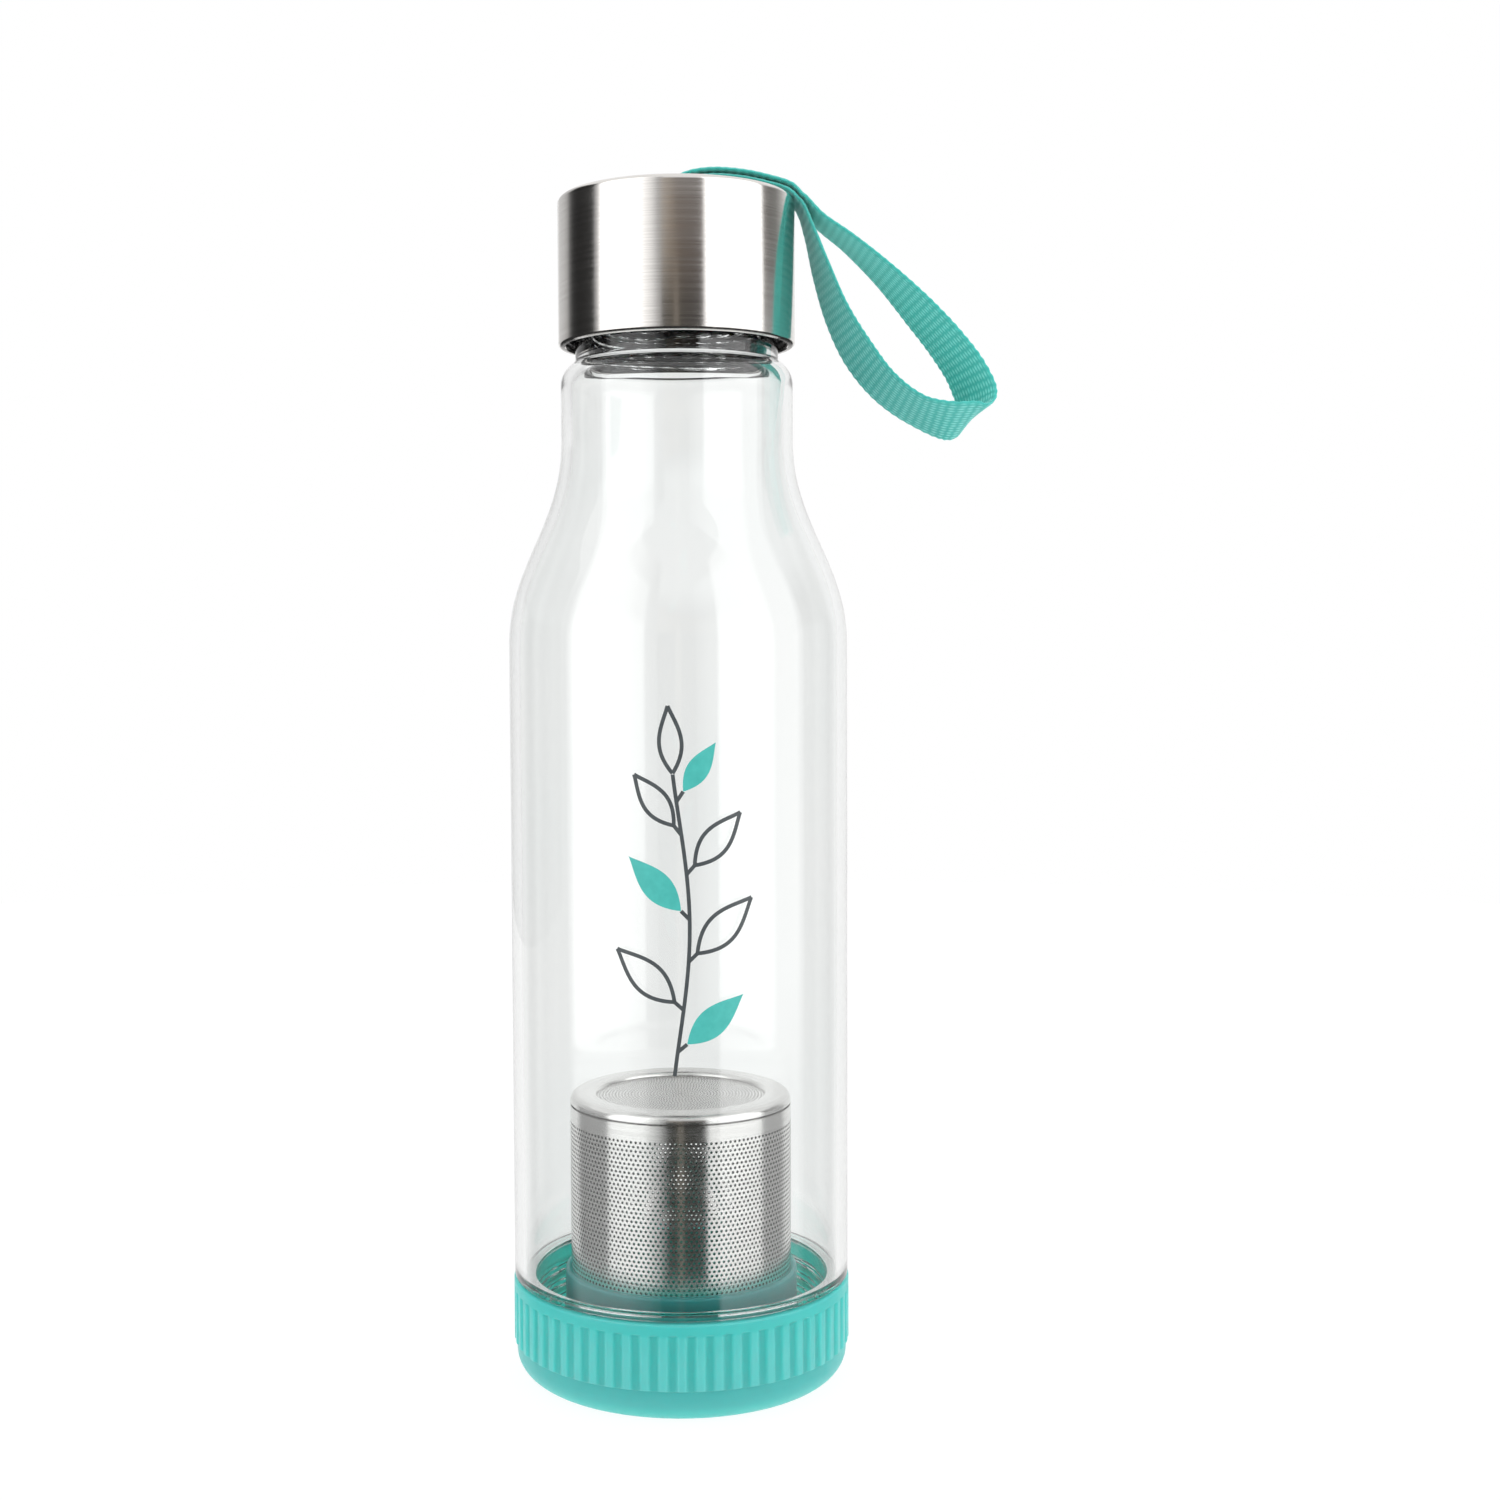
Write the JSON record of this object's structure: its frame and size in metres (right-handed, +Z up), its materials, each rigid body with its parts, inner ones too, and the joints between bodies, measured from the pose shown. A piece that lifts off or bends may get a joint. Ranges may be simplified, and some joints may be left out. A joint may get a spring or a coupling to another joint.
{
  "type": "tea infuser bottle",
  "caption": "Clear two-necked drinking bottle with a steel screw cap on a webbing carry strap and a ribbed screw base that holds a tall steel leaf strainer.",
  "frame": {"origin": "on the bottle's axis, at the flat ring under the base that it stands on", "axes": "+Z up along the bottle's axis, +X towards the side that the carry strap hangs on, +Y away from the viewer"},
  "size_m": [0.0939, 0.0654, 0.2307],
  "materials": {
    "clear_body": "clear moulded copolyester, polished",
    "turquoise_plastic": "satin moulded polypropylene",
    "silicone": "translucent white silicone",
    "strainer_steel": "perforated stainless sheet",
    "cap_steel": "stainless sheet brushed round the cap",
    "dark_plastic": "black polypropylene",
    "webbing": "flat woven polyester webbing"
  },
  "bodies": {
    "bottle": {"bottle_body": "clear_body"},
    "cap_seal": {"cap_gasket": "silicone"},
    "cap": {"cap_shell": "cap_steel", "cap_liner": "dark_plastic", "strap_pin": "cap_steel", "strap_root": "webbing"},
    "strap": {"carry_strap": "webbing"},
    "base_seal": {"base_gasket": "silicone"},
    "base": {"base_cap": "turquoise_plastic"},
    "strainer": {"strainer_wall": "strainer_steel", "strainer_end_ring": "strainer_steel", "strainer_sieve": "strainer_steel"}
  },
  "joints": [
    {"name": "cap_lift", "type": "slide", "parent": "bottle", "child": "cap_seal", "axis": [0, 0, 1], "range_m": [0, 0.012]},
    {"name": "cap_turn", "type": "hinge", "parent": "cap_seal", "child": "cap", "pos_m": [0, 0, 0.21], "axis": [0, 0, 1], "range_deg": [0, 720]},
    {"name": "strap_swing", "type": "hinge", "parent": "cap", "child": "strap", "pos_m": [0, 0, 0.2277], "axis": [0, -1, 0], "range_deg": [0, 70]},
    {"name": "base_drop", "type": "slide", "parent": "bottle", "child": "base_seal", "axis": [0, 0, -1], "range_m": [0, 0.014]},
    {"name": "base_turn", "type": "hinge", "parent": "base_seal", "child": "base", "pos_m": [0, 0, 0.01], "axis": [0, 0, -1], "range_deg": [0, 840]},
    {"name": "strainer_pull", "type": "slide", "parent": "base", "child": "strainer", "axis": [0, 0, 1], "range_m": [0, 0.018]}
  ],
  "couplings": [
    {"joint": "cap_lift", "follows": "cap_turn", "m_per_rad": 0.00095493},
    {"joint": "base_drop", "follows": "base_turn", "m_per_rad": 0.00095493}
  ]
}
